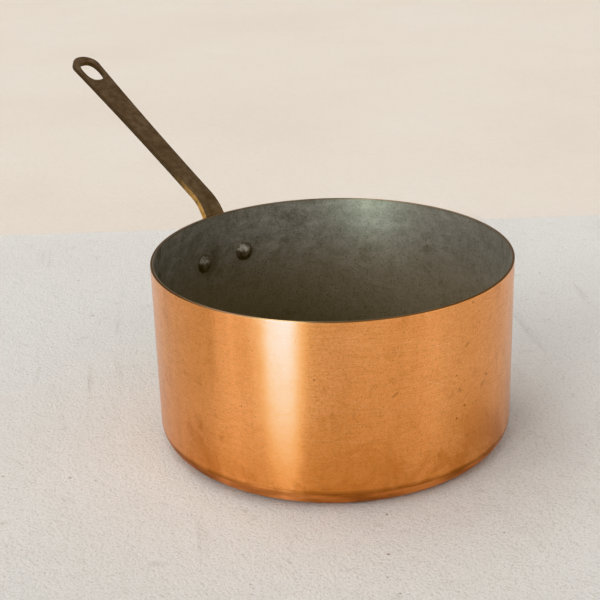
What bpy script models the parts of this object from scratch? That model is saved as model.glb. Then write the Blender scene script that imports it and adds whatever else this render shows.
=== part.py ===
"""A straight-sided copper saucepan: a copper body, a tin lining, a riveted brass handle.

The origin is the centre of the base, on the surface that the pan stands on. +Z points up
and the handle leaves the pan towards -X.
"""

import math

import bmesh
import bpy
from mathutils import Matrix, Vector

# Pan, in metres
PAN_RADIUS = 0.100
PAN_HEIGHT = 0.105
COPPER_THICKNESS = 0.0012
TIN_THICKNESS = 0.0003
CLEARANCE = 0.0003
CORNER_RADIUS = 0.0125
CORNER_START_ANGLE = math.radians(10)
CORNER_STEPS = 6
PAN_SEGMENTS = 72

# Rivets: two, side by side, each along a radius of the pan; side is 1 towards +Y, the left
RIVET_SIDES = (("rivet_left", 1), ("rivet_right", -1))
RIVET_HALF_SPACING_ANGLE = math.radians(9.2)
RIVET_HEIGHT = PAN_HEIGHT - 0.0275
SHANK_RADIUS = 0.0030
INNER_HEAD_RADIUS = 0.0055
INNER_HEAD_RISE = 0.0034
OUTER_HEAD_RADIUS = 0.0050
OUTER_HEAD_RISE = 0.0022
RIVET_SEGMENTS = 24
HEAD_STEPS = 5

# Handle: a flat bar that rises along the wall, bends outwards and runs straight to its tip
BAR_THICKNESS = 0.0040
TIP_THICKNESS = 0.0030
BEND_RADIUS = 0.030
BAR_SLOPE = math.radians(28)
BEND_START_HEIGHT = 0.0888
STRAIGHT_LENGTH = 0.1420
NECK_HALF_WIDTH = 0.0060
TIP_HALF_WIDTH = 0.0092
RIM_HALF_WIDTH = 0.0067
PLATE_HALF_WIDTH = 0.0230
PLATE_END_RISE = 0.0125
PLATE_BELOW_RIVETS = 0.0150
EDGE_ROUNDING = 0.0006
BEND_STEPS = 12
PLATE_COLUMNS = 8
OUTLINE_STEP = 0.004
ROUND_END_STEPS = 12

# Hanging hole: an oval along the bar, fuller than an ellipse, whose power would be 2
HOLE_HALF_LENGTH = 0.0097
HOLE_HALF_WIDTH = 0.00605
HOLE_END_MARGIN = 0.0058
HOLE_POWER = 2.6
HOLE_STEPS = 36

COPPER = ("copper", (0.80, 0.36, 0.16), 0.28, 1.0)
TIN = ("tin", (0.24, 0.23, 0.21), 0.42, 1.0)
BRASS = ("aged_brass", (0.16, 0.11, 0.06), 0.48, 1.0)
RIVET_METAL = ("rivet_metal", (0.22, 0.20, 0.18), 0.40, 1.0)

BEND_ANGLE = math.radians(90) - BAR_SLOPE
BEND_LENGTH = BEND_RADIUS * BEND_ANGLE
PLATE_BOTTOM_HEIGHT = RIVET_HEIGHT - PLATE_BELOW_RIVETS
PLATE_LENGTH = BEND_START_HEIGHT - PLATE_BOTTOM_HEIGHT
WALL_FACE = PAN_RADIUS + CLEARANCE


def clear_scene():
    for old in list(bpy.data.objects):
        bpy.data.objects.remove(old)


def make_material(name, colour, roughness, metallic):
    material = bpy.data.materials.new(name)
    material.use_nodes = True
    shader = material.node_tree.nodes["Principled BSDF"]
    shader.inputs["Base Color"].default_value = (*colour, 1)
    shader.inputs["Roughness"].default_value = roughness
    shader.inputs["Metallic"].default_value = metallic
    return material


def add_object(name, mesh, parent):
    part = bpy.data.objects.new(name, mesh)
    bpy.context.scene.collection.objects.link(part)
    part.parent = parent
    return part


def mesh_from_bmesh(name, shape):
    mesh = bpy.data.meshes.new(name)
    shape.to_mesh(mesh)
    shape.free()
    mesh.shade_smooth()
    return mesh


def turned(name, profile, segments, parent):
    """A solid turned about its own Z axis from (radius, height) points."""
    mesh = bpy.data.meshes.new(name)
    points = [(radius, 0, height) for radius, height in profile]
    edges = [(i, i + 1) for i in range(len(points) - 1)]
    mesh.from_pydata(points, edges, [])
    part = add_object(name, mesh, parent)
    screw = part.modifiers.new("turn", "SCREW")
    screw.steps = segments
    screw.render_steps = segments
    screw.use_merge_vertices = True
    screw.merge_threshold = 0.00001
    screw.use_smooth_shade = True
    return part


def corner_arc(inset):
    """The rounded lower corner, top to bottom, at a depth of inset under the outer skin."""
    centre_radius = PAN_RADIUS - CORNER_RADIUS * math.cos(CORNER_START_ANGLE)
    radius = CORNER_RADIUS - inset
    sweep = math.radians(90) - CORNER_START_ANGLE
    angles = [CORNER_START_ANGLE + sweep * i / CORNER_STEPS for i in range(CORNER_STEPS + 1)]
    return [
        (centre_radius + radius * math.cos(a), CORNER_RADIUS - radius * math.sin(a))
        for a in angles
    ]


def shell_profile(outer_inset, inner_inset):
    """Inner floor centre, up the inside, over the lip, down the outside, to the base centre."""
    outside = [(PAN_RADIUS - outer_inset, PAN_HEIGHT)] + corner_arc(outer_inset)
    inside = [(PAN_RADIUS - inner_inset, PAN_HEIGHT)] + corner_arc(inner_inset)
    base = (0, outer_inset)
    floor = (0, inner_inset)
    return [floor] + inside[::-1] + outside + [base]


def cut(part, cutter, name):
    boolean = part.modifiers.new(name, "BOOLEAN")
    boolean.operation = "DIFFERENCE"
    boolean.object = cutter


def make_cutter(name, mesh, parent):
    cutter = add_object(name, mesh, parent)
    cutter.hide_render = True
    cutter.display_type = "WIRE"
    return cutter


def rivet_placement(side):
    """Origin on the outer wall, local Z towards the pan's axis."""
    azimuth = math.radians(180) - side * RIVET_HALF_SPACING_ANGLE
    outwards = Vector((math.cos(azimuth), math.sin(azimuth), 0))
    turn = (-outwards).to_track_quat("Z", "Y").to_matrix().to_4x4()
    place = outwards * PAN_RADIUS + Vector((0, 0, RIVET_HEIGHT))
    return Matrix.Translation(place) @ turn


def rivet_hole_cutter(name, side, parent):
    shape = bmesh.new()
    bmesh.ops.create_cone(
        shape,
        cap_ends=True,
        segments=RIVET_SEGMENTS,
        radius1=SHANK_RADIUS + CLEARANCE,
        radius2=SHANK_RADIUS + CLEARANCE,
        depth=4 * BAR_THICKNESS,
    )
    cutter = make_cutter(name, mesh_from_bmesh(name, shape), parent)
    cutter.matrix_world = rivet_placement(side)
    return cutter


def dome(radius, rise, height, direction):
    """A spherical cap from its edge to its crown; direction is 1 upwards, -1 downwards."""
    sphere = (radius**2 + rise**2) / (2 * rise)
    half_angle = math.asin(radius / sphere)
    points = []
    for i in range(HEAD_STEPS + 1):
        angle = half_angle * (1 - i / HEAD_STEPS)
        lift = rise - sphere * (1 - math.cos(angle))
        points.append((sphere * math.sin(angle), height + direction * lift))
    return points


def make_rivet(name, side, material, parent):
    lining_face = PAN_RADIUS - COPPER_THICKNESS - CLEARANCE - TIN_THICKNESS
    wall_sagitta = INNER_HEAD_RADIUS**2 / (2 * lining_face)
    inner_seat = PAN_RADIUS - lining_face + wall_sagitta + CLEARANCE
    outer_seat = -(2 * CLEARANCE + BAR_THICKNESS)
    inner_head = dome(INNER_HEAD_RADIUS, INNER_HEAD_RISE, inner_seat, 1)
    outer_head = dome(OUTER_HEAD_RADIUS, OUTER_HEAD_RISE, outer_seat, -1)
    shank = [(SHANK_RADIUS, inner_seat), (SHANK_RADIUS, outer_seat)]
    profile = inner_head[::-1] + shank + outer_head
    rivet = turned(name, profile, RIVET_SEGMENTS, parent)
    rivet.data.materials.append(material)
    rivet.matrix_world = rivet_placement(side)
    return rivet


def smooth_ramp(value, start, end):
    share = min(max((value - start) / (end - start), 0), 1)
    return share * share * (3 - 2 * share)


def half_width(along):
    """Half the bar's width at a distance along its face: zero is the end of the bend."""
    rim = -BEND_LENGTH / 2
    plate_end_centre = -BEND_LENGTH - PLATE_LENGTH + PLATE_END_RISE
    tip_centre = STRAIGHT_LENGTH - TIP_HALF_WIDTH
    if along > tip_centre:
        return math.sqrt(max(TIP_HALF_WIDTH**2 - (along - tip_centre) ** 2, 0))
    if along > 0:
        share = along / tip_centre
        return NECK_HALF_WIDTH + (TIP_HALF_WIDTH - NECK_HALF_WIDTH) * share**2
    if along > rim:
        flare = smooth_ramp(along, 0, rim)
        return NECK_HALF_WIDTH + (RIM_HALF_WIDTH - NECK_HALF_WIDTH) * flare
    flare = smooth_ramp(along, rim, plate_end_centre)
    width = RIM_HALF_WIDTH + (PLATE_HALF_WIDTH - RIM_HALF_WIDTH) * flare
    if along > plate_end_centre:
        return width
    below = (plate_end_centre - along) / PLATE_END_RISE
    return width * math.sqrt(max(1 - below**2, 0))


def outline_stations():
    """Distances along the bar, plate end to tip, close together at the two round ends."""
    start = -BEND_LENGTH - PLATE_LENGTH
    plate_end_centre = start + PLATE_END_RISE
    tip_centre = STRAIGHT_LENGTH - TIP_HALF_WIDTH
    steps = round((tip_centre - plate_end_centre) / OUTLINE_STEP)
    quarter = [math.radians(90) * i / ROUND_END_STEPS for i in range(ROUND_END_STEPS)]
    lower = [plate_end_centre - PLATE_END_RISE * math.cos(a) for a in quarter]
    middle = [
        plate_end_centre + (tip_centre - plate_end_centre) * i / steps for i in range(steps + 1)
    ]
    upper = [tip_centre + TIP_HALF_WIDTH * math.sin(a) for a in quarter[1:]]
    return lower + middle + upper + [STRAIGHT_LENGTH]


def cut_flat(shape, faces, point, normal):
    """Cuts these faces of the flat bar along a plane."""
    edges = [edge for edge in shape.edges if set(edge.link_faces) & set(faces)]
    verts = [vert for vert in shape.verts if set(vert.link_faces) & set(faces)]
    geom = verts + edges + faces
    bmesh.ops.bisect_plane(shape, geom=geom, plane_co=point, plane_no=normal)


def flat_bar():
    """The bar's face laid flat: X along it, Y across it, with cuts where it will curve."""
    stations = outline_stations()
    shape = bmesh.new()
    one_side = [(a, half_width(a)) for a in stations]
    other_side = [(a, -w) for a, w in one_side[-2:0:-1]]
    corners = [shape.verts.new((a, w, 0)) for a, w in one_side + other_side]
    shape.faces.new(corners)
    for i in range(BEND_STEPS + 1):
        station = -BEND_LENGTH * i / BEND_STEPS
        cut_flat(shape, shape.faces[:], (station, 0, 0), (1, 0, 0))
    for i in range(1, PLATE_COLUMNS):
        column = PLATE_HALF_WIDTH * (2 * i / PLATE_COLUMNS - 1)
        curved = [face for face in shape.faces if face.calc_center_median().x < 0]
        cut_flat(shape, curved, (0, column, 0), (0, 1, 0))
    return shape


def face_point(along, across):
    """Where a point of the flat face lies once the bar is bent and its plate is curved.

    The pan's axis is at x = 0. Along the bend the curve around the pan fades out.
    """
    turn = min(max((along + BEND_LENGTH) / BEND_RADIUS, 0), BEND_ANGLE)
    reach = WALL_FACE + BEND_RADIUS * (1 - math.cos(turn))
    height = BEND_START_HEIGHT + BEND_RADIUS * math.sin(turn)
    if along > 0:
        reach += along * math.cos(BAR_SLOPE)
        height += along * math.sin(BAR_SLOPE)
    if along < -BEND_LENGTH:
        height += along + BEND_LENGTH
    hug = 1 - smooth_ramp(turn, 0, BEND_ANGLE)
    reach -= hug * (WALL_FACE - math.sqrt(WALL_FACE**2 - across**2))
    return Vector((-reach, across, height))


def thin_towards_tip(shape):
    """Gives each point of the flat bar its share of the full thickness, least at the tip."""
    shares = shape.verts.layers.deform.verify()
    for vert in shape.verts:
        along = max(vert.co.x, 0) / STRAIGHT_LENGTH
        vert[shares][0] = 1 - (1 - TIP_THICKNESS / BAR_THICKNESS) * along


def oval():
    """The hanging hole's outline in the flat face, a superellipse."""
    centre = STRAIGHT_LENGTH - HOLE_END_MARGIN - HOLE_HALF_LENGTH
    outline = []
    for i in range(HOLE_STEPS):
        angle = math.radians(360) * i / HOLE_STEPS
        length = math.copysign(abs(math.cos(angle)) ** (2 / HOLE_POWER), math.cos(angle))
        width = math.copysign(abs(math.sin(angle)) ** (2 / HOLE_POWER), math.sin(angle))
        outline.append((centre + HOLE_HALF_LENGTH * length, HOLE_HALF_WIDTH * width))
    return outline


def hanging_hole_cutter(parent):
    shape = bmesh.new()
    face_normal = Vector((math.sin(BAR_SLOPE), 0, math.cos(BAR_SLOPE)))
    depth = 2 * BAR_THICKNESS
    corners = [shape.verts.new(face_point(a, w) + face_normal * depth) for a, w in oval()]
    lid = shape.faces.new(corners)
    sides = bmesh.ops.extrude_face_region(shape, geom=[lid])
    moved = [v for v in sides["geom"] if isinstance(v, bmesh.types.BMVert)]
    bmesh.ops.translate(shape, verts=moved, vec=-2 * depth * face_normal)
    bmesh.ops.recalc_face_normals(shape, faces=shape.faces)
    return make_cutter("hanging_hole_cutter", mesh_from_bmesh("hanging_hole", shape), parent)


def make_handle(material, rivet_cutters, parent):
    shape = flat_bar()
    thin_towards_tip(shape)
    for vert in shape.verts:
        vert.co = face_point(vert.co.x, vert.co.y)
    bmesh.ops.recalc_face_normals(shape, faces=shape.faces)
    tip_face = max(shape.faces, key=lambda f: f.calc_center_median().z)
    if tip_face.normal.z < 0:
        bmesh.ops.reverse_faces(shape, faces=shape.faces)
    handle = add_object("handle", mesh_from_bmesh("handle", shape), parent)
    handle.data.materials.append(material)

    handle.vertex_groups.new(name="share of thickness")
    solidify = handle.modifiers.new("thickness", "SOLIDIFY")
    solidify.thickness = BAR_THICKNESS
    solidify.vertex_group = "share of thickness"
    solidify.offset = -1
    solidify.use_even_offset = True
    cut(handle, hanging_hole_cutter(parent), "hanging hole")
    bevel = handle.modifiers.new("eased edges", "BEVEL")
    bevel.width = EDGE_ROUNDING
    bevel.segments = 2
    bevel.limit_method = "ANGLE"
    bevel.angle_limit = math.radians(50)
    for cutter in rivet_cutters:
        cut(handle, cutter, cutter.name)
    return handle


def make_pan():
    saucepan = add_object("saucepan", None, None)
    cutters = [rivet_hole_cutter(name + "_hole", side, saucepan) for name, side in RIVET_SIDES]

    body_profile = shell_profile(0, COPPER_THICKNESS)
    pan_body = turned("pan_body", body_profile, PAN_SEGMENTS, saucepan)
    pan_body.data.materials.append(make_material(*COPPER))

    lining_outside = COPPER_THICKNESS + CLEARANCE
    lining_profile = shell_profile(lining_outside, lining_outside + TIN_THICKNESS)
    tin_lining = turned("tin_lining", lining_profile, PAN_SEGMENTS, saucepan)
    tin_lining.data.materials.append(make_material(*TIN))

    for shell in (pan_body, tin_lining):
        for cutter in cutters:
            cut(shell, cutter, cutter.name)

    make_handle(make_material(*BRASS), cutters, saucepan)
    rivet_metal = make_material(*RIVET_METAL)
    for name, side in RIVET_SIDES:
        make_rivet(name, side, rivet_metal, saucepan)


clear_scene()
make_pan()
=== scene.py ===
"""Looks of the copper saucepan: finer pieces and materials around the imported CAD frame."""

import math

import bmesh
import bpy
import numpy as np
from mathutils import Matrix, Vector


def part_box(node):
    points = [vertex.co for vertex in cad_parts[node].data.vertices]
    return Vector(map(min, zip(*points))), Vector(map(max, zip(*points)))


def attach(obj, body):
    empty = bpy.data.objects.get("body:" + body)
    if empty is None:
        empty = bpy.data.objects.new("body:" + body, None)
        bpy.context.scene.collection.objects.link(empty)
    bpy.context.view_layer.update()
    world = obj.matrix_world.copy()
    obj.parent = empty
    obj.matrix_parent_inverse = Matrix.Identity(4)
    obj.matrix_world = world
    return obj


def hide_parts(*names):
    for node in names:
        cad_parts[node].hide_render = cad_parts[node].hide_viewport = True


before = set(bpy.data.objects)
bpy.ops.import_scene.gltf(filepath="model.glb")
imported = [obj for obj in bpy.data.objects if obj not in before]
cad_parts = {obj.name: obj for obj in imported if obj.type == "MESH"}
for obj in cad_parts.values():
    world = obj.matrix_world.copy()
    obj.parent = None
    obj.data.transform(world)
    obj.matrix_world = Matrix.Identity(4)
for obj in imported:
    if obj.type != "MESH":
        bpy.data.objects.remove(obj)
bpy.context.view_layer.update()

MM = 0.001

# ---------------------------------------------------------------- driving dimensions

PAN_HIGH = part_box("pan_body")[1]
PAN_RADIUS = PAN_HIGH.x
PAN_HEIGHT = PAN_HIGH.z
CORNER_RADIUS = 12.5 * MM
CORNER_START = math.radians(10)
COPPER_THICKNESS = 1.45 * MM
TIN_THICKNESS = 0.25 * MM
SKIN_GAP = 0.02 * MM
LIP_ROUNDING = 0.35 * MM
TIN_LIP_ROUNDING = 0.25 * MM
TIN_LIP_REACH = 1.25 * MM
LIP_STEP = 0.10 * MM
PAN_SEGMENTS = 320

# How far the hand-finished wall waves in and out of a true cylinder
SLOW_WAVE = 0.035 * MM
QUICK_WAVE = 0.006 * MM
FINE_WAVE = 0.002 * MM

BAR_THICKNESS = 4.0 * MM
TIP_THICKNESS = 3.0 * MM
BEND_RADIUS = 30.0 * MM
BAR_SLOPE = math.radians(28)
BEND_ANGLE = math.radians(90) - BAR_SLOPE
BEND_LENGTH = BEND_RADIUS * BEND_ANGLE
BEND_START_HEIGHT = 88.8 * MM
WALL_FACE = PAN_RADIUS + 0.3 * MM
PLATE_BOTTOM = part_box("handle")[0].z
PLATE_LENGTH = BEND_START_HEIGHT - PLATE_BOTTOM
STRAIGHT_LENGTH = 142.0 * MM
NECK_HALF_WIDTH = 6.0 * MM
TIP_HALF_WIDTH = 9.2 * MM
RIM_HALF_WIDTH = 6.7 * MM
PLATE_HALF_WIDTH = 23.0 * MM
PLATE_END_RISE = 12.5 * MM
EDGE_ROUNDING = 0.75 * MM
HOLE_HALF_LENGTH = 9.7 * MM
HOLE_HALF_WIDTH = 6.05 * MM
HOLE_END_MARGIN = 5.8 * MM
HOLE_POWER = 2.6

SHANK_RADIUS = 3.0 * MM
HOLE_CLEARANCE = 0.1 * MM
RIVET_SEGMENTS = 48
INNER_HEAD_RADIUS = 5.7 * MM
INNER_HEAD_REACH = 5.65 * MM
OUTER_HEAD_RADIUS = 5.0 * MM
OUTER_HEAD_RISE = 2.2 * MM
HEAD_GAP = 0.05 * MM

# Dents that the hammer left on each rivet's heads
HAMMER_BLOWS = 9
INNER_DENT = 0.08 * MM
OUTER_DENT = 0.14 * MM

# ---------------------------------------------------------------- mesh helpers


def link(name, mesh):
    piece = bpy.data.objects.new(name, mesh)
    bpy.context.scene.collection.objects.link(piece)
    return piece


def span(start, end, steps):
    return [start + (end - start) * i / steps for i in range(steps + 1)]


def arc(centre_radius, centre_height, radius, start, end, steps):
    """Points (radius, height) on a circle, with angles in degrees, 0 outwards and 90 up."""
    angles = span(math.radians(start), math.radians(end), steps)
    return [
        (centre_radius + radius * math.cos(a), centre_height + radius * math.sin(a)) for a in angles
    ]


def lathe(name, profile, segments):
    """A closed solid turned about Z. The profile's first and last points are on the axis."""
    rings = profile[1:-1]
    turn = np.linspace(0, 2 * math.pi, segments, endpoint=False)
    radii = np.array([p[0] for p in rings])[:, None]
    heights = np.array([p[1] for p in rings])[:, None]
    x = radii * np.cos(turn)
    y = radii * np.sin(turn)
    z = heights + 0 * turn
    points = np.stack([x, y, z], -1).reshape(-1, 3).tolist()
    first, last = len(points), len(points) + 1
    points += [(0, 0, profile[0][1]), (0, 0, profile[-1][1])]
    faces = []
    for j in range(segments):
        k = (j + 1) % segments
        faces.append((first, j, k))
        for i in range(len(rings) - 1):
            a, b = i * segments, (i + 1) * segments
            faces.append((a + j, b + j, b + k, a + k))
        tail = (len(rings) - 1) * segments
        faces.append((tail + k, tail + j, last))
    mesh = bpy.data.meshes.new(name)
    mesh.from_pydata(points, [], faces)
    shape = bmesh.new()
    shape.from_mesh(mesh)
    bmesh.ops.recalc_face_normals(shape, faces=shape.faces)
    shape.to_mesh(mesh)
    shape.free()
    return mesh


def smooth(mesh, angle=35):
    mesh.shade_smooth()
    mesh.set_sharp_from_angle(angle=math.radians(angle))


def settle(piece):
    """Replaces a piece's mesh by the mesh that its modifiers make."""
    bpy.context.view_layer.update()
    graph = bpy.context.evaluated_depsgraph_get()
    mesh = bpy.data.meshes.new_from_object(
        piece.evaluated_get(graph), preserve_all_data_layers=True, depsgraph=graph
    )
    piece.modifiers.clear()
    piece.data = mesh
    return piece


def cut(piece, cutter):
    boolean = piece.modifiers.new(cutter.name, "BOOLEAN")
    boolean.operation = "DIFFERENCE"
    boolean.object = cutter


def discard(pieces):
    for piece in pieces:
        bpy.data.objects.remove(piece)


# ---------------------------------------------------------------- pan and lining


def sheet_waviness(x, y, z):
    """How far hand-finished sheet stands off a true cylinder at a point of the wall."""
    turn = np.arctan2(y, x)
    slow = np.sin(3 * turn + 0.6) + 0.7 * np.sin(5 * turn + 2.1 + z * 18)
    quick = np.sin(23 * turn + 40 * z + 1.0) * np.sin(z * 95 + 4 * np.sin(7 * turn))
    fine = np.sin(61 * turn + 2.0 - 130 * z) * np.sin(z * 210 + 2.5 * turn)
    return SLOW_WAVE * slow + QUICK_WAVE * quick + FINE_WAVE * fine


def warp_wall(mesh):
    count = len(mesh.vertices)
    co = np.zeros(count * 3)
    mesh.vertices.foreach_get("co", co)
    co = co.reshape(-1, 3)
    x, y, z = co.T
    radius = np.hypot(x, y)
    near_wall = np.clip((radius - 0.9 * PAN_RADIUS) / (0.08 * PAN_RADIUS), 0, 1)
    above_corner = np.clip((z - CORNER_RADIUS) / CORNER_RADIUS, 0, 1)
    push = sheet_waviness(x, y, z) * near_wall * above_corner
    share = 1 + np.where(radius > 1e-6, push / np.maximum(radius, 1e-6), 0)
    co[:, 0] *= share
    co[:, 1] *= share
    mesh.vertices.foreach_set("co", co.ravel())
    mesh.update()


def corner(inset, steps):
    centre = PAN_RADIUS - CORNER_RADIUS * math.cos(CORNER_START)
    start = -math.degrees(CORNER_START)
    return arc(centre, CORNER_RADIUS, CORNER_RADIUS - inset, start, -90, steps)


def copper_profile():
    inner = PAN_RADIUS - COPPER_THICKNESS
    ledge = PAN_HEIGHT - LIP_STEP - SKIN_GAP
    shoulder = PAN_RADIUS - TIN_LIP_REACH + SKIN_GAP
    crease = CORNER_RADIUS * (1 - math.sin(CORNER_START))
    floor = [(r, COPPER_THICKNESS) for r in span(0, PAN_RADIUS - CORNER_RADIUS - 2 * MM, 8)]
    inner_corner = corner(COPPER_THICKNESS, 16)[::-1]
    inner_wall = [(inner, h) for h in span(CORNER_RADIUS, ledge, 20)]
    lip = [(shoulder, ledge), (shoulder, PAN_HEIGHT - 0.03 * MM), (shoulder + 0.03 * MM, PAN_HEIGHT)]
    outer_edge = arc(
        PAN_RADIUS - LIP_ROUNDING, PAN_HEIGHT - LIP_ROUNDING, LIP_ROUNDING, 90, 0, 6
    )
    top = PAN_HEIGHT - LIP_ROUNDING - 0.5 * MM
    wall = [(PAN_RADIUS, h) for h in span(top, crease + 0.2 * MM, 44)]
    outer_corner = corner(0, 24)
    base = [(r, 0) for r in span(PAN_RADIUS - CORNER_RADIUS - 1 * MM, 0, 10)]
    return floor + inner_corner + inner_wall + lip + outer_edge + wall + outer_corner + base


def tin_profile():
    outer_inset = COPPER_THICKNESS + SKIN_GAP
    inner_inset = outer_inset + TIN_THICKNESS
    inner = PAN_RADIUS - inner_inset
    outer = PAN_RADIUS - outer_inset
    reach = PAN_RADIUS - TIN_LIP_REACH
    ledge = PAN_HEIGHT - LIP_STEP
    floor = [(r, inner_inset) for r in span(0, PAN_RADIUS - CORNER_RADIUS - 2 * MM, 24)]
    inner_corner = corner(inner_inset, 20)[::-1]
    inner_wall = [(inner, h) for h in span(CORNER_RADIUS, PAN_HEIGHT - 0.8 * MM, 44)]
    inner_edge = arc(
        inner + TIN_LIP_ROUNDING, PAN_HEIGHT - TIN_LIP_ROUNDING, TIN_LIP_ROUNDING, 180, 90, 6
    )
    lip = [
        (reach - 0.04 * MM, PAN_HEIGHT),
        (reach, PAN_HEIGHT - 0.04 * MM),
        (reach, ledge),
        (outer, ledge),
    ]
    outer_wall = [(outer, h) for h in span(ledge - 0.5 * MM, CORNER_RADIUS, 12)]
    outer_corner = corner(outer_inset, 12)
    underside = [(r, outer_inset) for r in span(PAN_RADIUS - CORNER_RADIUS - 2 * MM, 0, 4)]
    return floor + inner_corner + inner_wall + inner_edge + lip + outer_wall + outer_corner + underside


def rivet_axis(node):
    """Where a rivet crosses the outer wall, its local Z towards the pan's axis."""
    low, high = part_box(node)
    middle = (low + high) / 2
    outwards = Vector((middle.x, middle.y, 0)).normalized()
    turn = (-outwards).to_track_quat("Z", "Y").to_matrix().to_4x4()
    return Matrix.Translation(outwards * PAN_RADIUS + Vector((0, 0, middle.z))) @ turn


RIVETS = ("rivet_left", "rivet_right")


def rivet_hole_cutters():
    cutters = []
    for node in RIVETS:
        shape = bmesh.new()
        bmesh.ops.create_cone(
            shape,
            cap_ends=True,
            segments=32,
            radius1=SHANK_RADIUS + HOLE_CLEARANCE,
            radius2=SHANK_RADIUS + HOLE_CLEARANCE,
            depth=4 * BAR_THICKNESS,
            matrix=rivet_axis(node),
        )
        mesh = bpy.data.meshes.new(node + "_hole")
        shape.to_mesh(mesh)
        shape.free()
        cutters.append(link(node + "_hole", mesh))
    return cutters


def make_shell(name, profile, cutters):
    mesh = lathe(name, profile, PAN_SEGMENTS)
    warp_wall(mesh)
    shell = link(name, mesh)
    for cutter in cutters:
        cut(shell, cutter)
    settle(shell)
    smooth(shell.data)
    return shell


# ---------------------------------------------------------------- rivets


def dome(radius, rise, seat, direction, steps):
    """From the edge of a rivet head to its crown, with a rounded edge."""
    sphere = (radius**2 + rise**2) / (2 * rise)
    half = math.asin(radius / sphere)
    points = [(radius - 0.25 * MM, seat), (radius - 0.06 * MM, seat + direction * 0.06 * MM)]
    for a in span(half * 0.98, 0, steps):
        lift = rise - sphere * (1 - math.cos(a))
        points.append((sphere * math.sin(a), seat + direction * max(lift, 0.15 * MM)))
    return points


def make_rivet(node):
    lining_inset = COPPER_THICKNESS + SKIN_GAP + TIN_THICKNESS
    inner_seat = lining_inset + HEAD_GAP
    outer_seat = -(WALL_FACE - PAN_RADIUS + BAR_THICKNESS + HEAD_GAP)
    inner_head = dome(INNER_HEAD_RADIUS, INNER_HEAD_REACH - inner_seat, inner_seat, 1, 16)
    outer_head = dome(OUTER_HEAD_RADIUS, OUTER_HEAD_RISE, outer_seat, -1, 12)
    shank = [(SHANK_RADIUS, inner_seat), (SHANK_RADIUS, outer_seat)]
    mesh = lathe(node + "_fine", inner_head[::-1] + shank + outer_head, RIVET_SEGMENTS)
    hammered(mesh, seed=RIVETS.index(node))
    mesh.transform(rivet_axis(node))
    smooth(mesh, 40)
    return link(node + "_fine", mesh)


def hammered(mesh, seed):
    """Flats and dimples that a hammer leaves on a rivet's heads."""
    blows = np.random.default_rng(seed).uniform(-1, 1, (HAMMER_BLOWS, 2))
    for vert in mesh.vertices:
        x, y, z = vert.co
        spot = Vector((x / INNER_HEAD_RADIUS, y / INNER_HEAD_RADIUS))
        dent = sum(math.exp(-((spot - Vector(b)).length_squared) * 9) for b in blows)
        edge = min(max(1 - spot.length, 0), 0.3) / 0.3
        depth = INNER_DENT if z > 0 else OUTER_DENT
        vert.co.z -= math.copysign(depth * dent * edge, z)


# ---------------------------------------------------------------- handle


def ramp(value, start, end):
    share = min(max((value - start) / (end - start), 0), 1)
    return share * share * (3 - 2 * share)


def half_width(along):
    """Half the bar's width at a distance along its face: zero is the end of the bend."""
    rim = -BEND_LENGTH / 2
    plate_end_centre = -BEND_LENGTH - PLATE_LENGTH + PLATE_END_RISE
    tip_centre = STRAIGHT_LENGTH - TIP_HALF_WIDTH
    if along > tip_centre:
        return math.sqrt(max(TIP_HALF_WIDTH**2 - (along - tip_centre) ** 2, 0))
    if along > 0:
        share = along / tip_centre
        return NECK_HALF_WIDTH + (TIP_HALF_WIDTH - NECK_HALF_WIDTH) * share**2
    if along > rim:
        return NECK_HALF_WIDTH + (RIM_HALF_WIDTH - NECK_HALF_WIDTH) * ramp(along, 0, rim)
    flare = ramp(along, rim, plate_end_centre)
    width = RIM_HALF_WIDTH + (PLATE_HALF_WIDTH - RIM_HALF_WIDTH) * flare
    if along > plate_end_centre:
        return width
    below = (plate_end_centre - along) / PLATE_END_RISE
    return width * math.sqrt(max(1 - below**2, 0))


def face_point(along, across):
    """Where a point of the flat face lies once the bar is bent and its plate is curved."""
    turn = min(max((along + BEND_LENGTH) / BEND_RADIUS, 0), BEND_ANGLE)
    reach = WALL_FACE + BEND_RADIUS * (1 - math.cos(turn))
    height = BEND_START_HEIGHT + BEND_RADIUS * math.sin(turn)
    if along > 0:
        reach += along * math.cos(BAR_SLOPE)
        height += along * math.sin(BAR_SLOPE)
    if along < -BEND_LENGTH:
        height += along + BEND_LENGTH
    hug = 1 - ramp(turn, 0, BEND_ANGLE)
    reach -= hug * (WALL_FACE - math.sqrt(WALL_FACE**2 - across**2))
    return Vector((-reach, across, height))


def bar_outline():
    start = -BEND_LENGTH - PLATE_LENGTH
    plate_end_centre = start + PLATE_END_RISE
    tip_centre = STRAIGHT_LENGTH - TIP_HALF_WIDTH
    quarter = span(0, math.radians(90), 24)
    lower = [plate_end_centre - PLATE_END_RISE * math.cos(a) for a in quarter[:-1]]
    middle = span(plate_end_centre, tip_centre, 90)
    upper = [tip_centre + TIP_HALF_WIDTH * math.sin(a) for a in quarter[1:]]
    stations = lower + middle + upper
    one_side = [(a, half_width(a)) for a in stations]
    other_side = [(a, -w) for a, w in one_side[-2:0:-1]]
    return one_side + other_side


def cut_flat(shape, faces, point, normal):
    chosen = set(faces)
    edges = [edge for edge in shape.edges if chosen & set(edge.link_faces)]
    verts = [vert for vert in shape.verts if chosen & set(vert.link_faces)]
    bmesh.ops.bisect_plane(shape, geom=verts + edges + faces, plane_co=point, plane_no=normal)


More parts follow.
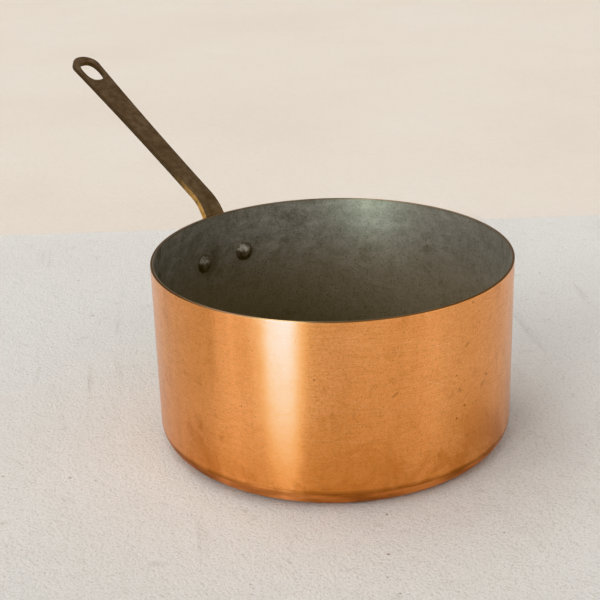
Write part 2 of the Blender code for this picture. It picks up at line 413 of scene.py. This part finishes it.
def bar_face():
    """The bar's upper face, bent and curved, as a thin sheet that faces up and inwards."""
    shape = bmesh.new()
    shape.faces.new([shape.verts.new((a, w, 0)) for a, w in bar_outline()])
    for station in span(-BEND_LENGTH, 0, 40):
        cut_flat(shape, shape.faces[:], (station, 0, 0), (1, 0, 0))
    for column in span(-PLATE_HALF_WIDTH, PLATE_HALF_WIDTH, 24)[1:-1]:
        curved = [face for face in shape.faces if face.calc_center_median().x < 0]
        cut_flat(shape, curved, (0, column, 0), (0, 1, 0))
    thin_towards_tip(shape)
    for vert in shape.verts:
        vert.co = face_point(vert.co.x, vert.co.y)
    bmesh.ops.recalc_face_normals(shape, faces=shape.faces)
    tip_face = max(shape.faces, key=lambda f: f.calc_center_median().z)
    if tip_face.normal.z < 0:
        bmesh.ops.reverse_faces(shape, faces=shape.faces)
    mesh = bpy.data.meshes.new("handle_fine")
    shape.to_mesh(mesh)
    shape.free()
    return mesh


def thin_towards_tip(shape):
    shares = shape.verts.layers.deform.verify()
    for vert in shape.verts:
        along = max(vert.co.x, 0) / STRAIGHT_LENGTH
        vert[shares][0] = 1 - (1 - TIP_THICKNESS / BAR_THICKNESS) * along


def oval():
    """The hanging hole's outline in the flat face, a superellipse."""
    centre = STRAIGHT_LENGTH - HOLE_END_MARGIN - HOLE_HALF_LENGTH
    outline = []
    for a in span(0, 2 * math.pi, 96)[:-1]:
        length = math.copysign(abs(math.cos(a)) ** (2 / HOLE_POWER), math.cos(a))
        width = math.copysign(abs(math.sin(a)) ** (2 / HOLE_POWER), math.sin(a))
        outline.append((centre + HOLE_HALF_LENGTH * length, HOLE_HALF_WIDTH * width))
    return outline


def hanging_hole_cutter():
    face_normal = Vector((math.sin(BAR_SLOPE), 0, math.cos(BAR_SLOPE)))
    depth = 2 * BAR_THICKNESS
    shape = bmesh.new()
    corners = [shape.verts.new(face_point(a, w) + face_normal * depth) for a, w in oval()]
    lid = shape.faces.new(corners)
    sides = bmesh.ops.extrude_face_region(shape, geom=[lid])
    moved = [v for v in sides["geom"] if isinstance(v, bmesh.types.BMVert)]
    bmesh.ops.translate(shape, verts=moved, vec=-2 * depth * face_normal)
    bmesh.ops.recalc_face_normals(shape, faces=shape.faces)
    mesh = bpy.data.meshes.new("hanging_hole")
    shape.to_mesh(mesh)
    shape.free()
    return link("hanging_hole", mesh)


def make_handle(rivet_holes):
    handle = link("handle_fine", bar_face())
    handle.vertex_groups.new(name="share of thickness")
    solidify = handle.modifiers.new("thickness", "SOLIDIFY")
    solidify.thickness = BAR_THICKNESS
    solidify.vertex_group = "share of thickness"
    solidify.offset = -1
    solidify.use_even_offset = True
    hole = hanging_hole_cutter()
    cut(handle, hole)
    bevel = handle.modifiers.new("worn edges", "BEVEL")
    bevel.width = EDGE_ROUNDING
    bevel.segments = 4
    bevel.limit_method = "ANGLE"
    bevel.angle_limit = math.radians(50)
    for cutter in rivet_holes:
        cut(handle, cutter)
    settle(handle)
    discard([hole])
    smooth(handle.data, 40)
    handle.modifiers.new("weighted normals", "WEIGHTED_NORMAL").keep_sharp = True
    settle(handle)
    return handle


# ---------------------------------------------------------------- shader node helpers


class Nodes:
    """Adds shader nodes to a node tree and wires them up."""

    def __init__(self, tree):
        self.tree = tree

    def node(self, kind, **settings):
        made = self.tree.nodes.new(kind)
        for key, value in settings.items():
            setattr(made, key, value)
        return made

    def feed(self, socket, value):
        if isinstance(value, bpy.types.NodeSocket):
            self.tree.links.new(value, socket)
        else:
            socket.default_value = value

    def math(self, operation, *values):
        made = self.node("ShaderNodeMath", operation=operation)
        for socket, value in zip(made.inputs, values):
            self.feed(socket, value)
        return made.outputs[0]

    def times(self, first, second):
        return self.math("MULTIPLY", first, second)

    def split(self, vector):
        made = self.node("ShaderNodeSeparateXYZ")
        self.feed(made.inputs[0], vector)
        return made.outputs

    def turned(self, vector, degrees):
        made = self.node("ShaderNodeMapping")
        self.feed(made.inputs["Vector"], vector)
        made.inputs["Rotation"].default_value[2] = math.radians(degrees)
        return made.outputs[0]

    def remap(self, value, low, high, to_low=0.0, to_high=1.0):
        """A smooth step: to_low where the value is low, to_high where it is high."""
        made = self.node("ShaderNodeMapRange", interpolation_type="SMOOTHSTEP")
        for socket, number in zip(made.inputs[:5], (value, low, high, to_low, to_high)):
            self.feed(socket, number)
        return made.outputs[0]


class Graph(Nodes):
    """One material's nodes around a Principled shader."""

    def __init__(self, name):
        self.material = bpy.data.materials.new(name)
        self.material.use_nodes = True
        super().__init__(self.material.node_tree)
        self.shader = self.tree.nodes["Principled BSDF"]
        self.place = self.node("ShaderNodeTexCoord").outputs["Object"]

    def set(self, **values):
        for name, value in values.items():
            self.feed(self.shader.inputs[name.replace("_", " ")], value)

    def join(self, x, y, z):
        made = self.node("ShaderNodeCombineXYZ")
        for socket, value in zip(made.inputs, (x, y, z)):
            self.feed(socket, value)
        return made.outputs[0]

    def scaled(self, vector, x, y, z):
        made = self.node("ShaderNodeMapping")
        self.feed(made.inputs["Vector"], vector)
        made.inputs["Scale"].default_value = (x, y, z)
        return made.outputs[0]

    def noise(self, vector, scale, detail=3.0, rough=0.55, warp=0.0):
        made = self.node("ShaderNodeTexNoise")
        self.feed(made.inputs["Vector"], vector)
        made.inputs["Scale"].default_value = scale
        made.inputs["Detail"].default_value = detail
        made.inputs["Roughness"].default_value = rough
        made.inputs["Distortion"].default_value = warp
        return made.outputs[0]

    def dots(self, per_metre, bare, widest, softness, solid):
        """Round dots in cells, so many cells a metre. The share called bare has none."""
        cell = self.node("ShaderNodeTexVoronoi")
        self.feed(cell.inputs["Vector"], self.place)
        cell.inputs["Scale"].default_value = per_metre
        size = self.remap(self.split(cell.outputs["Color"])[0], bare, 1.0, 0.0, widest)
        beyond = self.math("SUBTRACT", cell.outputs["Distance"], size)
        dot = self.math("SUBTRACT", 1.0, self.remap(beyond, 0.0, softness))
        return self.times(dot, self.remap(size, 0.0, solid))

    def mix(self, share, first, second):
        made = self.node("ShaderNodeMix", data_type="RGBA")
        self.feed(made.inputs[0], share)
        for socket, value in zip((made.inputs[6], made.inputs[7]), (first, second)):
            self.feed(socket, (*value, 1) if isinstance(value, tuple) else value)
        return made.outputs[2]

    def layered(self, colour, *layers):
        """The colour with tints laid over it in turn, each by its share."""
        for share, tint in layers:
            colour = self.mix(share, colour, tint)
        return colour

    def blend(self, share, first, second):
        made = self.node("ShaderNodeMix", data_type="FLOAT")
        self.feed(made.inputs[0], share)
        self.feed(made.inputs[2], first)
        self.feed(made.inputs[3], second)
        return made.outputs[0]

    def relief(self, *heights):
        """The normal of several heights laid over one another, each with its depth in mm."""
        normal = None
        for height, depth in heights:
            made = self.node("ShaderNodeBump")
            self.feed(made.inputs["Height"], height)
            made.inputs["Distance"].default_value = depth * MM
            if normal is not None:
                self.feed(made.inputs["Normal"], normal)
            normal = made.outputs[0]
        return normal


class TurnedGraph(Graph):
    """A material for metal turned about Z, polished round and round."""

    def __init__(self, name):
        super().__init__(name)
        self.x, self.y, self.z = self.split(self.place)
        squares = self.math("ADD", self.times(self.x, self.x), self.times(self.y, self.y))
        self.radius = self.math("SQRT", squares)
        off_axis = self.math("MAXIMUM", self.radius, 1 * MM)
        self.out_x = self.math("DIVIDE", self.x, off_axis)
        self.out_y = self.math("DIVIDE", self.y, off_axis)
        self.up_sheet = self.math("SUBTRACT", self.z, self.radius)
        tangent = self.node("ShaderNodeTangent", direction_type="RADIAL", axis="Z")
        self.set(Tangent=tangent.outputs[0], Anisotropic_Rotation=0.25)

    def ring_noise(self, turns, pitch, detail, rough=0.55):
        """Noise drawn out round the pan: a few features a turn, many up the sheet."""
        lane_x = self.times(self.out_x, turns)
        lane_y = self.times(self.out_y, turns)
        lanes = self.join(lane_x, lane_y, self.times(self.up_sheet, pitch))
        return self.noise(lanes, 1.0, detail, rough)


# ---------------------------------------------------------------- copper

COPPER_BRIGHT = (0.99, 0.478, 0.214)
COPPER_WARM = (0.90, 0.396, 0.159)
COPPER_LANE = (0.82, 0.36, 0.13)
COPPER_LOW = (0.62, 0.255, 0.095)
COPPER_TARNISH = (0.72, 0.275, 0.085)
COPPER_DRIP = (0.62, 0.26, 0.10)
COPPER_LINE = (0.66, 0.27, 0.10)
COPPER_STAIN = (0.43, 0.165, 0.065)
COPPER_DIRT = (0.58, 0.215, 0.078)
COPPER_PORE = (0.52, 0.21, 0.085)
COPPER_SPOT = (0.25, 0.105, 0.05)
COPPER_HAIR = (0.98, 0.66, 0.40)
# Painted shade: the turned-under corner is coloured darker in place of the shaded floor it reflects,
# streaked by the turning lines
CORNER_PAINTED_SHADE_PALE = (0.66, 0.27, 0.115)
CORNER_PAINTED_SHADE_DEEP = (0.34, 0.13, 0.06)
# Painted shade along the crease where the wall turns under
CREASE_PAINTED_SHADE = (0.30, 0.12, 0.05)
LIP_BROWN = (0.24, 0.145, 0.082)

# Fine scratches: direction in degrees, scratches a metre across them, features a metre along them
HAIR_SETS = ((24, 620, 16), (-37, 900, 24), (81, 1000, 20), (58, 760, 22), (4, 900, 9))

# Knocks and scratches on the wall, scattered at random from a fixed seed
MARK_COUNT = 18
MARK_SEED = 4
SCRATCH_SHARE = 0.2
SCRATCH_HALF_WIDTH = 0.25 * MM
KNOCK_HALF_WIDTH = 0.7 * MM


def scattered_marks():
    """Marks as angle round the pan, height, half length, half width, tilt and depth."""
    dice = np.random.default_rng(MARK_SEED)
    marks = []
    for _ in range(MARK_COUNT):
        angle = dice.uniform(-math.pi, math.pi)
        height = PAN_HEIGHT * dice.triangular(0.15, 0.35, 0.9)
        tilt = dice.uniform(-0.7, 0.7)
        depth = dice.uniform(0.35, 0.8)
        if dice.random() < SCRATCH_SHARE:
            length = dice.uniform(4, 8) * MM
            width = SCRATCH_HALF_WIDTH
        else:
            length = dice.uniform(0.6, 2.4) * MM
            width = min(length, KNOCK_HALF_WIDTH)
        marks.append((angle, height, length, width, tilt, depth))
    return marks


def marks_on_wall(g, length, ragged):
    """One mask of all the marks, each a tilted oval with a ragged edge."""
    mask = 0.0
    for turn, height, half_length, half_width, lean, depth in scattered_marks():
        u = g.math("SUBTRACT", length, turn * PAN_RADIUS)
        v = g.math("SUBTRACT", g.z, height)
        for_length = g.math("MULTIPLY_ADD", u, math.cos(lean), g.times(v, math.sin(lean)))
        for_width = g.math("MULTIPLY_ADD", v, math.cos(lean), g.times(u, -math.sin(lean)))
        far = g.math("POWER", g.math("DIVIDE", for_length, half_length), 2)
        wide = g.math("POWER", g.math("DIVIDE", for_width, half_width), 2)
        reach = g.math("ADD", g.math("ADD", far, wide), ragged)
        mask = g.math("MAXIMUM", mask, g.remap(reach, 1.4, 0.4, 0.0, depth))
    return mask


def hairs_on_wall(g, length):
    sheet = g.join(length, g.z, 0.0)
    hairs = 0.0
    for degrees, across, along in HAIR_SETS:
        hair = g.noise(g.scaled(g.turned(sheet, degrees), along, across, 1), 1.0, 1.0)
        hairs = g.math("MAXIMUM", hairs, g.remap(hair, 0.70, 0.78))
    return hairs


def copper_material():
    g = TurnedGraph("polished_copper")
    length = g.times(g.math("ARCTAN2", g.y, g.x), PAN_RADIUS)

    fine_lines = g.ring_noise(9, 2400, 2.0)
    broad_lines = g.ring_noise(3.5, 330, 3.0)
    grain = g.noise(g.place, 620, 4.0, 0.6, 0.3)
    pores = g.noise(g.place, 1250, 2.0, 0.5)
    mottle = g.noise(g.place, 120, 5.0, 0.62, 0.6)
    blotches = g.noise(g.place, 34, 4.0, 0.6, 0.8)
    clouds = g.noise(g.place, 9.5, 3.0, 0.5, 0.4)
    drips = g.noise(g.scaled(g.place, 1, 1, 0.12), 55, 3.0, 0.6)
    hairs = hairs_on_wall(g, length)
    spots = g.dots(150, bare=0.84, widest=0.06, softness=0.06, solid=0.03)
    ragged = g.times(g.math("SUBTRACT", grain, 0.5), 3.0)
    marks = g.math("MAXIMUM", spots, marks_on_wall(g, length, ragged))

    # Where the height matters, it wanders a little with the mottle
    wander = g.times(g.math("SUBTRACT", mottle, 0.5), 1.5 * MM)
    height = g.math("ADD", g.z, wander)
    corner_band = g.remap(height, 11.4 * MM, 9.4 * MM)
    # Painted shade along the crease where the wall turns under, mottled by the blotches
    crease_top = g.remap(height, 12.6 * MM, 10.4 * MM)
    crease = g.times(g.remap(height, 8.6 * MM, 10.2 * MM), crease_top)
    lip_height = g.math("ADD", g.z, g.times(wander, 0.15))
    lip = g.remap(lip_height, PAN_HEIGHT - 0.38 * MM, PAN_HEIGHT - 0.16 * MM)
    low = g.remap(g.z, 62 * MM, 10 * MM)

    tarnish = g.times(g.remap(clouds, 0.40, 0.68), g.blend(low, 0.45, 0.85))
    dirt = g.times(g.remap(blotches, 0.49, 0.66), g.blend(low, 0.12, 0.85))
    stain = g.times(g.remap(mottle, 0.54, 0.72), g.blend(dirt, 0.25, 0.95))
    # Painted shade on the corner band, streaked by the turning lines
    corner_painted_shade = g.mix(g.remap(broad_lines, 0.40, 0.62), CORNER_PAINTED_SHADE_PALE, CORNER_PAINTED_SHADE_DEEP)
    colour = g.layered(
        g.mix(g.remap(grain, 0.32, 0.68), COPPER_BRIGHT, COPPER_WARM),
        (g.times(broad_lines, 0.40), COPPER_LANE),
        (g.times(low, 0.12), COPPER_LOW),
        (g.times(tarnish, 0.65), COPPER_TARNISH),
        (g.remap(drips, 0.52, 0.70, 0.0, 0.40), COPPER_DRIP),
        (g.remap(fine_lines, 0.50, 0.68, 0.0, 0.40), COPPER_LINE),
        (g.times(stain, 0.75), COPPER_STAIN),
        (g.times(dirt, 0.65), COPPER_DIRT),
        (g.remap(pores, 0.54, 0.72, 0.0, 0.60), COPPER_PORE),
        (g.times(marks, 0.75), COPPER_SPOT),
        (g.times(hairs, 0.15), COPPER_HAIR),
        (g.times(corner_band, 0.85), corner_painted_shade),
        (g.times(crease, g.remap(blotches, 0.35, 0.65, 0.15, 0.65)), CREASE_PAINTED_SHADE),
        (lip, LIP_BROWN),
    )

    roughness = g.blend(g.remap(mottle, 0.3, 0.75), 0.235, 0.265)
    roughness = g.math("ADD", roughness, g.times(spots, 0.06))
    roughness = g.blend(corner_band, roughness, 0.42)
    roughness = g.blend(lip, roughness, 0.5)
    pits = g.math("ADD", marks, g.times(hairs, 0.15))
    normal = g.relief(
        (fine_lines, 0.012), (broad_lines, 0.03), (grain, 0.005), (mottle, 0.004), (pits, -0.015)
    )
    g.set(Base_Color=colour, Roughness=roughness, Normal=normal, Metallic=1.0, Anisotropic=0.96)
    return g.material


# ---------------------------------------------------------------- tin, rivets and brass

TIN_PALE = (0.240, 0.230, 0.205)
TIN_GREY = (0.168, 0.160, 0.139)
TIN_WIPED = (0.33, 0.323, 0.29)
TIN_CLOUD = (0.16, 0.15, 0.128)
TIN_STAIN = (0.08, 0.072, 0.058)
TIN_GRAIN = (0.06, 0.055, 0.044)
TIN_DEEP = (0.240, 0.202, 0.146)
TIN_LIP = (0.13, 0.105, 0.072)
TIN_DARK_SPECKLE = (0.045, 0.041, 0.033)
TIN_PALE_SPECKLE = (0.30, 0.29, 0.26)

RIVET_PALE = (0.33, 0.305, 0.268)
RIVET_DARK = (0.125, 0.110, 0.088)
RIVET_GRAIN = (0.05, 0.045, 0.037)

BRASS_DARK = (0.118, 0.083, 0.058)
BRASS_BROWN = (0.200, 0.146, 0.103)
BRASS_CLOUD = (0.098, 0.068, 0.047)
BRASS_HANDLED = (0.255, 0.180, 0.098)
# Painted shade for the bar's side faces
BRASS_PAINTED_SIDE_SHADE = (0.060, 0.043, 0.029)
BRASS_LINE = (0.22, 0.165, 0.10)
BRASS_GRAIN = (0.055, 0.042, 0.030)
BRASS_RUBBED = (0.68, 0.40, 0.135)


def tin_material():
    g = TurnedGraph("wiped_tin")
    lines = g.ring_noise(12, 900, 3.0)
    wipes = g.ring_noise(5, 150, 4.0, 0.65)
    grain = g.noise(g.place, 560, 4.0, 0.65, 0.4)
    speckle = g.noise(g.place, 1150, 2.0, 0.6)
    mottle = g.noise(g.place, 150, 6.0, 0.72, 0.2)
    stains = g.noise(g.place, 34, 5.0, 0.7, 0.3)
    clouds = g.noise(g.place, 12, 3.0)

    stain = g.remap(stains, 0.55, 0.72, 0.0, 0.7)
    lip = g.remap(g.z, PAN_HEIGHT - 1.2 * MM, PAN_HEIGHT - 0.3 * MM, 0.0, 0.7)
    colour = g.layered(
        g.mix(g.remap(mottle, 0.3, 0.7), TIN_PALE, TIN_GREY),
        (g.remap(wipes, 0.45, 0.75, 0.0, 0.5), TIN_WIPED),
        (g.remap(clouds, 0.4, 0.7, 0.0, 0.4), TIN_CLOUD),
        (stain, TIN_STAIN),
        (g.remap(grain, 0.56, 0.72, 0.0, 0.5), TIN_GRAIN),
        (g.remap(g.z, 95 * MM, 45 * MM, 0.0, 0.6), TIN_DEEP),
        (lip, TIN_LIP),
        (g.remap(speckle, 0.56, 0.70, 0.0, 0.5), TIN_DARK_SPECKLE),
        (g.remap(speckle, 0.44, 0.30, 0.0, 0.3), TIN_PALE_SPECKLE),
    )

    roughness = g.blend(g.remap(mottle, 0.25, 0.75), 0.40, 0.50)
    roughness = g.math("ADD", roughness, g.times(stain, 0.12))
    normal = g.relief((lines, 0.03), (mottle, 0.12), (grain, 0.035))
    g.set(Base_Color=colour, Roughness=roughness, Normal=normal)
    g.set(Metallic=0.12, Specular_IOR_Level=0.22, Anisotropic=0.4)
    return g.material


def rivet_material():
    g = Graph("tinned_rivet")
    mottle = g.noise(g.place, 330, 5.0, 0.65)
    grain = g.noise(g.place, 1100, 3.0)
    colour = g.layered(
        g.mix(g.remap(mottle, 0.32, 0.68), RIVET_PALE, RIVET_DARK),
        (g.remap(grain, 0.58, 0.72, 0.0, 0.5), RIVET_GRAIN),
    )
    normal = g.relief((mottle, 0.09), (grain, 0.02))
    g.set(Base_Color=colour, Roughness=g.blend(mottle, 0.34, 0.52), Normal=normal, Metallic=0.7)
    return g.material


def brass_material():
    g = Graph("aged_brass")
    x, y, z = g.split(g.place)
    patina = g.noise(g.place, 240, 6.0, 0.7, 0.15)
    clouds = g.noise(g.place, 34, 4.0, 0.6, 0.5)
    grain = g.noise(g.place, 900, 3.0, 0.6)
    up_bar = g.math("MULTIPLY_ADD", z, math.sin(BAR_SLOPE), g.times(x, -math.cos(BAR_SLOPE)))
    bar_lines = g.noise(g.join(g.times(up_bar, 45), g.times(y, 1500), 0.0), 1.0, 3.0)

    sideways = g.split(g.node("ShaderNodeNewGeometry").outputs["Normal"])[1]
    sideways = g.math("ABSOLUTE", sideways)
    # Painted shade: faces that look sideways are coloured darker
    side = g.remap(sideways, 0.30, 0.75)
    flank = g.remap(sideways, 0.93, 0.995)
    near_bend = g.times(g.remap(x, -138 * MM, -108 * MM), g.remap(z, 80 * MM, 100 * MM))
    rubbed = g.times(g.times(flank, near_bend), g.remap(patina, 0.34, 0.58, 0.25, 1.0))
    handled = g.times(g.remap(clouds, 0.52, 0.75), g.blend(near_bend, 0.15, 0.55))
    colour = g.layered(
        g.mix(g.remap(patina, 0.3, 0.7), BRASS_DARK, BRASS_BROWN),
        (g.remap(clouds, 0.35, 0.60, 0.30, 0.0), BRASS_CLOUD),
        (handled, BRASS_HANDLED),
        (g.times(side, 0.65), BRASS_PAINTED_SIDE_SHADE),
        (g.remap(bar_lines, 0.60, 0.74, 0.0, 0.35), BRASS_LINE),
        (g.remap(grain, 0.58, 0.72, 0.0, 0.45), BRASS_GRAIN),
        (g.times(rubbed, 0.75), BRASS_RUBBED),
    )

    roughness = g.blend(rubbed, g.blend(patina, 0.45, 0.60), 0.34)
    normal = g.relief((patina, 0.07), (grain, 0.03), (bar_lines, 0.015))
    g.set(Base_Color=colour, Roughness=roughness, Normal=normal, Metallic=0.85)
    return g.material


# ---------------------------------------------------------------- floor and backdrop

PLASTER_PALE = (0.828, 0.831, 0.818)
PLASTER_WARM = (0.801, 0.793, 0.773)
PLASTER_HOLLOW = (0.50, 0.47, 0.43)
PLASTER_SAND = (0.46, 0.43, 0.39)
PLASTER_DUST = (0.48, 0.45, 0.41)
PLASTER_SCRAPE = (0.47, 0.43, 0.38)
PLASTER_SPECK = (0.28, 0.24, 0.19)
TROWEL_DIRECTION = 35

CANVAS_PALE = (0.708, 0.655, 0.597)
CANVAS_WARM = (0.682, 0.618, 0.552)
CANVAS_WEAVE = (0.57, 0.50, 0.42)


def plaster_material():
    g = Graph("pale_plaster")
    swell = g.noise(g.place, 14, 4.0, 0.55, 0.3)
    coarse = g.noise(g.place, 95, 6.0, 0.68, 0.5)
    sand = g.noise(g.place, 560, 5.0, 0.75)
    dust = g.noise(g.place, 1300, 2.0, 0.6)
    clouds = g.noise(g.place, 3.2, 3.0)
    trowel = g.noise(g.scaled(g.turned(g.place, TROWEL_DIRECTION), 4, 46, 1), 1.0, 4.0, 0.6)
    specks = g.dots(75, bare=0.76, widest=0.055, softness=0.03, solid=0.01)
    colour = g.layered(
        g.mix(g.remap(clouds, 0.35, 0.65), PLASTER_PALE, PLASTER_WARM),
        (g.remap(coarse, 0.42, 0.30, 0.0, 0.30), PLASTER_HOLLOW),
        (g.remap(sand, 0.50, 0.34, 0.0, 0.45), PLASTER_SAND),
        (g.remap(dust, 0.48, 0.32, 0.0, 0.45), PLASTER_DUST),
        (g.remap(trowel, 0.62, 0.72, 0.0, 0.30), PLASTER_SCRAPE),
        (g.times(specks, 0.75), PLASTER_SPECK),
    )
    normal = g.relief((swell, 0.8), (trowel, 0.45), (coarse, 1.6), (sand, 1.6))
    g.set(Base_Color=colour, Roughness=0.9, Normal=normal)
    return g.material


def canvas_material():
    g = Graph("cream_canvas")
    clouds = g.noise(g.place, 4.0, 4.0)
    weave = g.noise(g.scaled(g.place, 1, 6, 1), 160, 3.0)
    colour = g.layered(
        g.mix(g.remap(clouds, 0.3, 0.7), CANVAS_PALE, CANVAS_WARM),
        (g.remap(weave, 0.45, 0.70, 0.0, 0.25), CANVAS_WEAVE),
    )
    g.set(Base_Color=colour, Roughness=0.95, Normal=g.relief((weave, 0.4)))
    return g.material


# ---------------------------------------------------------------- camera, floor and light

CAMERA_AZIMUTH = math.radians(48.9)
CAMERA_ELEVATION = math.radians(21.9)
CAMERA_ROLL = math.radians(-1.79)
CAMERA_DISTANCE = 0.7255
CAMERA_LENS = 77.6
CAMERA_TARGET = Vector((-12.0 * MM, -13.8 * MM, 77.1 * MM))

FLOOR_SPAN = (-2.2, 0.36)
FLOOR_HALF_WIDTH = 2.4
FLOOR_TURN = 0.5
BACKDROP_SPAN = (-6.0, 6.0)
BACKDROP_HALF_WIDTH = 6.0
BACKDROP_DROP = 3 * MM

# The light behind the tall highlight on the copper
STRIP_BEARING = -29.4
STRIP_DISTANCE = 0.42
STRIP_AIM = Vector((0, 0, 0.15))
STRIP_SIZE = (0.098, 0.07)
STRIP_SPREAD = math.radians(44)
STRIP_POWER = 0.47
STRIP_COLOUR = (0.80, 1.0, 0.79)

# Soft studio surroundings, as zones of light around the pan. Each has its left and right edge in
# degrees from the camera's direction, its lowest and highest elevation, its softness and strength.
# A negative strength takes light away, for a dark side of the room.
AMBIENT = 0.56
SKY_COLOUR = (1.0, 0.975, 0.94)
ZONES = (
    (-43, -23, 10, 40, 1.0, 6.2),
    (-78, -46, -5, 30, 2.0, 2.1),
    (-67, -57, -5, 30, 3.0, 1.6),
    (-79, -46, 26, 62, 4.0, 1.6),
    (-19, 60, 24, 80, 14.0, 0.56),
    (8, 76, -6, 12, 6.0, 0.9),
    (48, 66, -5, 40, 3.0, 1.0),
    (28, 70, 8, 40, 6.0, 0.3),
    (-128, -80, -8, 36, 2.5, -0.56),
    (-160, -88, 40, 76, 4.0, 2.6),
)


def bearing(degrees):
    """Flat direction from the pan, 0 towards the camera and positive to the camera's right."""
    a = CAMERA_AZIMUTH + math.radians(degrees)
    return Vector((math.sin(a), -math.cos(a), 0))


def make_camera():
    data = bpy.data.cameras.new("camera")
    data.lens = CAMERA_LENS
    camera = link("camera", data)
    back = bearing(0) * math.cos(CAMERA_ELEVATION) + Vector((0, 0, math.sin(CAMERA_ELEVATION)))
    turn = (
        Matrix.Rotation(CAMERA_AZIMUTH, 4, "Z")
        @ Matrix.Rotation(math.pi / 2 - CAMERA_ELEVATION, 4, "X")
        @ Matrix.Rotation(CAMERA_ROLL, 4, "Z")
    )
    camera.matrix_world = Matrix.Translation(CAMERA_TARGET + back * CAMERA_DISTANCE) @ turn
    bpy.context.scene.camera = camera


def slab(name, reach, half_width, height, turn, material):
    """A flat sheet that reaches from near to far along the camera's view, at a height."""
    near, far = reach
    ahead = -bearing(turn)
    across = Vector((ahead.y, -ahead.x, 0))
    corners = [
        ahead * a + across * b + Vector((0, 0, height))
        for a, b in ((near, -half_width), (near, half_width), (far, half_width), (far, -half_width))
    ]
    mesh = bpy.data.meshes.new(name)
    mesh.from_pydata(corners, [], [(0, 1, 2, 3)])
    mesh.materials.append(material)
    piece = link(name, mesh)


def make_strip():
    """A level light that only reflections see, with a narrow spread and no bounces."""
    data = bpy.data.lights.new("strip", "AREA")
    data.shape = "RECTANGLE"
    data.size, data.size_y = STRIP_SIZE
    data.spread = STRIP_SPREAD
    data.energy = STRIP_POWER
    data.color = STRIP_COLOUR
    data.cycles.max_bounces = 0
    strip = link("strip", data)
    way = bearing(STRIP_BEARING)
    strip.location = STRIP_AIM + way * STRIP_DISTANCE
    strip.rotation_mode = "QUATERNION"
    strip.rotation_quaternion = way.to_track_quat("Z", "Y")
    strip.visible_camera = False
    strip.visible_diffuse = False


def make_surroundings():
    world = bpy.data.worlds.new("studio")
    world.use_nodes = True
    g = Nodes(world.node_tree)
    direction = g.node("ShaderNodeTexCoord").outputs["Generated"]
    x, y, z = g.split(g.turned(direction, -math.degrees(CAMERA_AZIMUTH)))
    azimuth = g.math("DEGREES", g.math("ARCTAN2", x, g.times(y, -1)))
    elevation = g.math("DEGREES", g.math("ARCSINE", z))
    strength = AMBIENT
    for left, right, bottom, top, softness, level in ZONES:
        share = 1.0
        for value, edge in ((azimuth, left), (elevation, bottom)):
            share = g.times(share, g.remap(value, edge - softness, edge + softness))
        for value, edge in ((azimuth, right), (elevation, top)):
            share = g.times(share, g.remap(value, edge + softness, edge - softness))
        strength = g.math("MULTIPLY_ADD", share, level, strength)
    background = g.tree.nodes["Background"]
    background.inputs["Color"].default_value = (*SKY_COLOUR, 1)
    g.feed(background.inputs["Strength"], strength)
    bpy.context.scene.world = world


def make_stage():
    slab("plaster_floor", FLOOR_SPAN, FLOOR_HALF_WIDTH, 0, FLOOR_TURN, plaster_material())
    slab("canvas_behind", BACKDROP_SPAN, BACKDROP_HALF_WIDTH, -BACKDROP_DROP, 0, canvas_material())
    make_surroundings()
    make_strip()
    bpy.context.scene.view_settings.view_transform = "Khronos PBR Neutral"


# ---------------------------------------------------------------- assembly


def place(piece, material, slot, *nodes):
    piece.data.materials.clear()
    piece.data.materials.append(material)
    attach(piece, "root")
    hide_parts(*nodes)


def make_object():
    holes = rivet_hole_cutters()
    pan = make_shell("pan_body_fine", copper_profile(), holes)
    place(pan, copper_material(), "copper", "pan_body")
    lining = make_shell("tin_lining_fine", tin_profile(), holes)
    place(lining, tin_material(), "tin", "tin_lining")
    place(make_handle(holes), brass_material(), "aged_brass", "handle")
    discard(holes)
    metal = rivet_material()
    for node in RIVETS:
        place(make_rivet(node), metal, "rivet_metal", node)


make_camera()
make_stage()
make_object()
